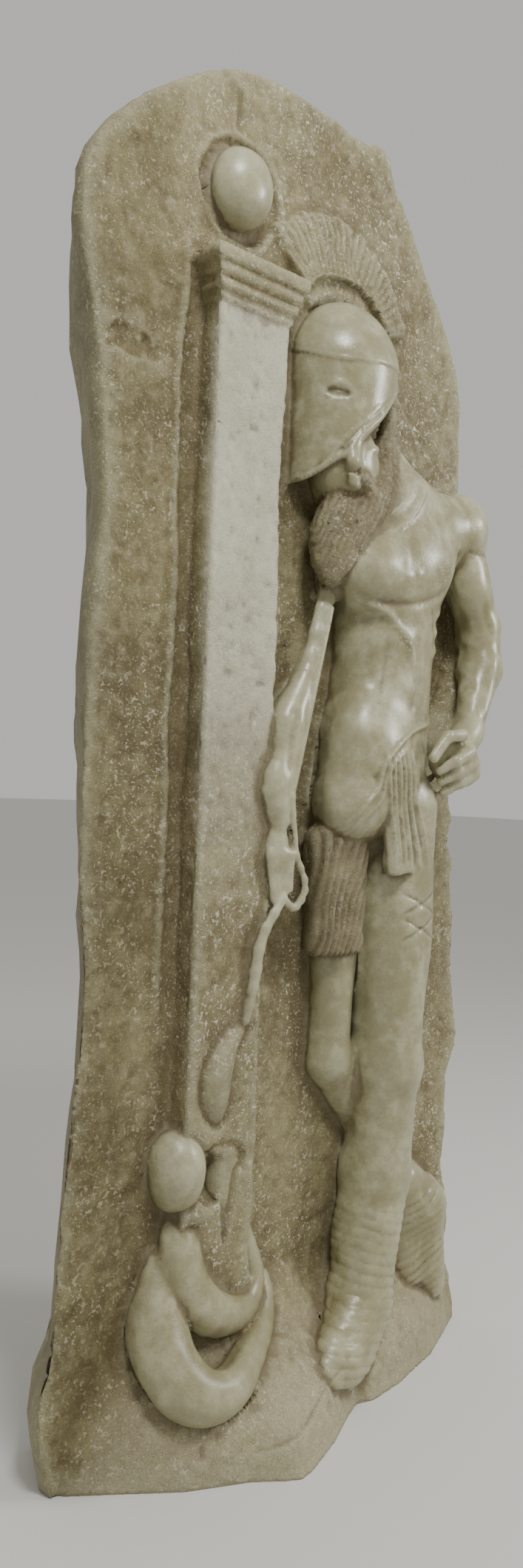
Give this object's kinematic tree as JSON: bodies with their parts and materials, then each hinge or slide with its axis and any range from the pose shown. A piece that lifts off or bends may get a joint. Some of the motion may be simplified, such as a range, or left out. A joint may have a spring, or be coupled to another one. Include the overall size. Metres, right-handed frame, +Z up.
{
  "type": "carved stone stele",
  "caption": "Upright stone slab with arched head, carved in relief with a square pillar, a leaning helmeted warrior and a coiled serpent, standing on its own plinth.",
  "frame": {"origin": "on the flat underside, below the front face of the slab and between the pillar and the figure", "axes": "+Z up, +X to the right along the carved front, -Y out of the carved front"},
  "size_m": [0.7144, 0.245, 1.543],
  "materials": {
    "weathered_stone": "grey-green to olive-brown stone, polished on the figures and roughly dressed on the ground"
  },
  "bodies": {
    "root": {"stele": "weathered_stone"}
  },
  "joints": []
}
